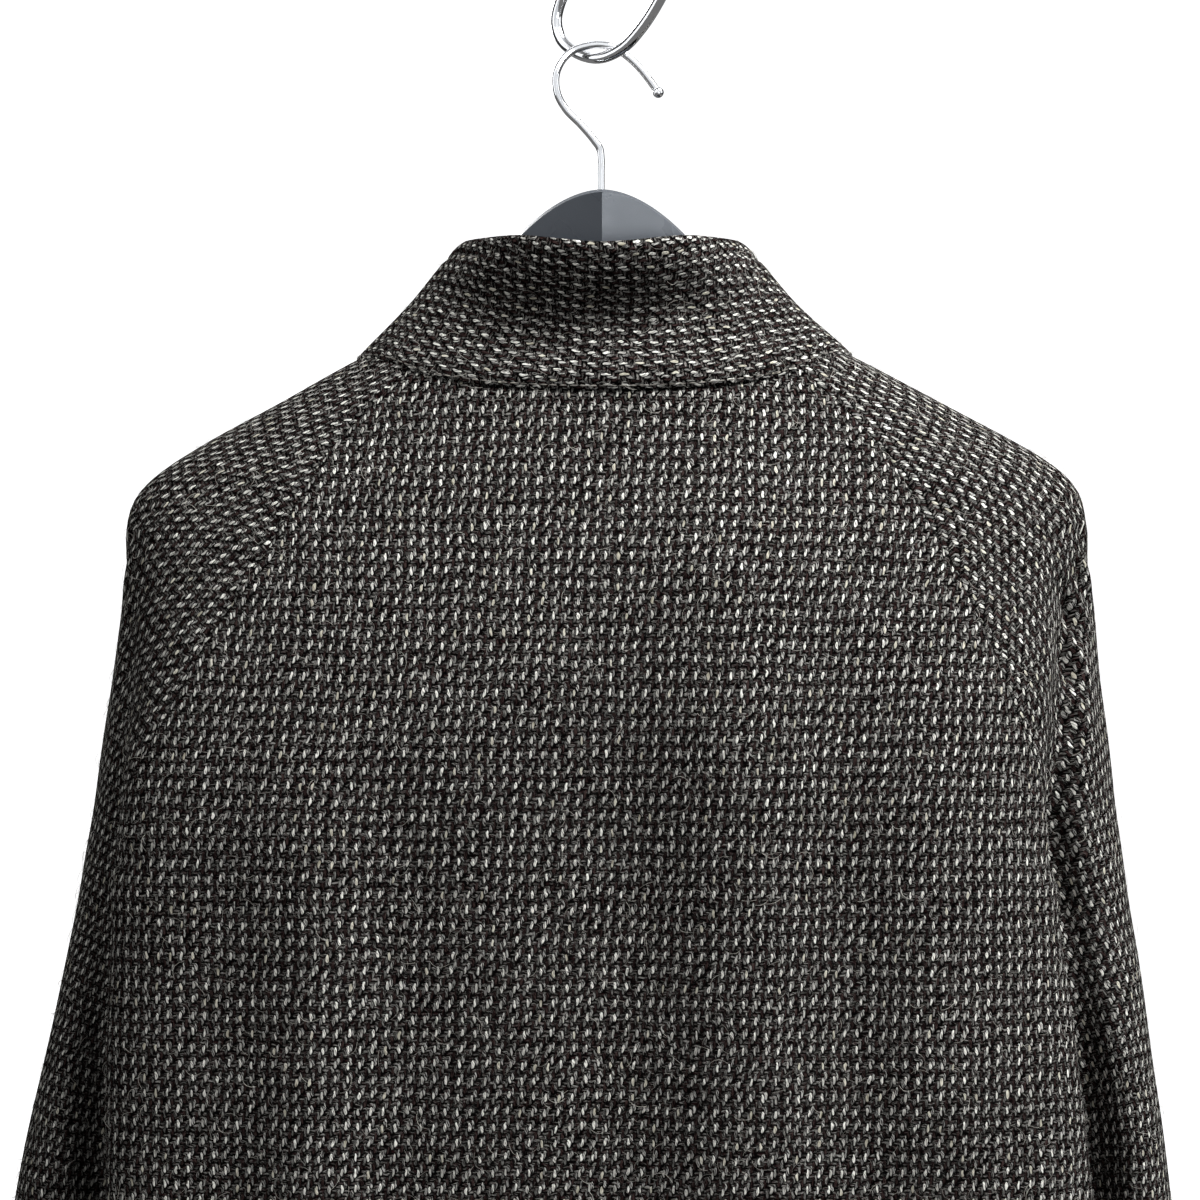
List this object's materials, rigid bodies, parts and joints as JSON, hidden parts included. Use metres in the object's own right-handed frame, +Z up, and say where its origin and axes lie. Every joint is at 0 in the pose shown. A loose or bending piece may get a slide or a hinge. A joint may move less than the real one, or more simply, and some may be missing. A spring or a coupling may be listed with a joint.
{
  "type": "blouson jacket on a hanger",
  "caption": "Raglan-sleeved tweed blouson with a stand collar, front zip, cuffs and hem band, on a plastic hanger that hangs from a wire S-hook.",
  "frame": {"origin": "inside top of the S-hook's upper bend, where it rests on what holds it", "axes": "+Z up, +X to the wearer's left, +Y out of the garment's back, -Y out of its front"},
  "size_m": [0.5938, 0.2186, 0.9173],
  "materials": {
    "tweed": "coarse wool weave",
    "zip_tape": "woven tape",
    "zip_metal": "polished",
    "hanger_plastic": "satin",
    "wire": "polished"
  },
  "bodies": {
    "jacket": {"back": "tweed", "front_left": "tweed", "front_right": "tweed", "sleeve_left": "tweed", "sleeve_right": "tweed", "cuff_left": "tweed", "cuff_right": "tweed", "hem_band": "tweed", "collar": "tweed", "zip_tape_left": "zip_tape", "zip_tape_right": "zip_tape", "zip_slider": "zip_metal", "hanger_body": "hanger_plastic", "hanger_hook": "wire", "s_hook": "wire"},
    "zip_pull": {"zip_pull": "zip_metal"}
  },
  "joints": [
    {"name": "pull_flip", "type": "hinge", "parent": "jacket", "child": "zip_pull", "pos_m": [0, -0.0959, -0.2473], "axis": [-1, 0, 0], "range_deg": [0, 135]}
  ]
}
